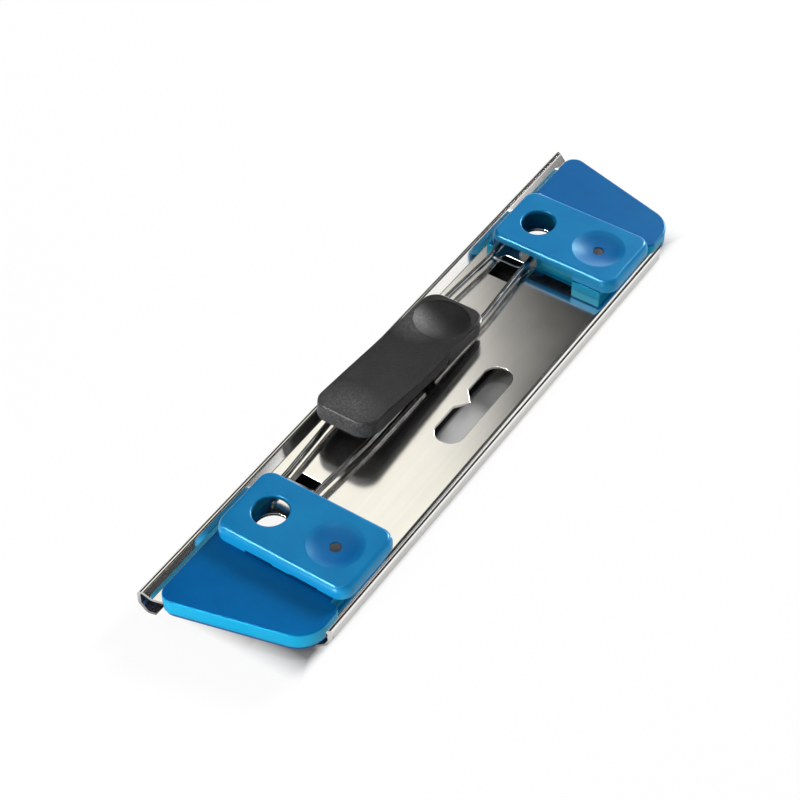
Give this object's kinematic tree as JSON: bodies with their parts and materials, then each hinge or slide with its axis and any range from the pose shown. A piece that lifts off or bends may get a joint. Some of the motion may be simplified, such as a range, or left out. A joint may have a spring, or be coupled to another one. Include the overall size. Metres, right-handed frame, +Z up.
{
  "type": "mini hole punch",
  "caption": "Flat desk hole punch: a bent steel plate with paired punch units on a sprung wire frame, pressed down by one rocking handle in the middle.",
  "frame": {"origin": "middle of the rest plane under the plate", "axes": "+X across, from the lipped edge to the round edge where paper enters; +Y along the plate; +Z up, away from the desk"},
  "size_m": [0.0284, 0.124, 0.0117],
  "materials": {
    "plate": "polished, faintly brushed stainless sheet",
    "cover": "smooth moulded blue",
    "pad": "smooth moulded deeper blue",
    "under_pad": "matt dark blue",
    "handle": "matt black with a fine grain",
    "wire": "bright drawn wire",
    "steel": "plain ground steel",
    "spring": "drawn spring wire",
    "screw": "zinc plated"
  },
  "bodies": {
    "base": {"base_plate": "plate", "near_lower_body": "pad", "near_under_pad": "under_pad", "near_upper_cover": "cover", "near_die": "steel", "near_left_screw": "screw", "near_right_screw": "screw", "near_spring": "spring", "far_lower_body": "pad", "far_under_pad": "under_pad", "far_upper_cover": "cover", "far_die": "steel", "far_left_screw": "screw", "far_right_screw": "screw", "far_spring": "spring"},
    "press_frame": {"handle_carrier": "handle", "handle_pivot": "steel", "near_bail": "wire", "near_crosshead": "steel", "near_punch_pin": "steel", "far_bail": "wire", "far_crosshead": "steel", "far_punch_pin": "steel"},
    "handle": {"handle_cap": "handle"}
  },
  "joints": [
    {"name": "press", "type": "slide", "parent": "base", "child": "press_frame", "axis": [0, 0, -1], "range_m": [0, 0.0006], "stiffness_N_per_m": 3000, "springref_m": -0.0005, "deforming": ["near_spring", "far_spring"]},
    {"name": "handle_rock", "type": "hinge", "parent": "press_frame", "child": "handle", "pos_m": [-0.0057, 0.003, 0.0071], "axis": [1, 0, 0], "range_deg": [0, 5.9]}
  ]
}
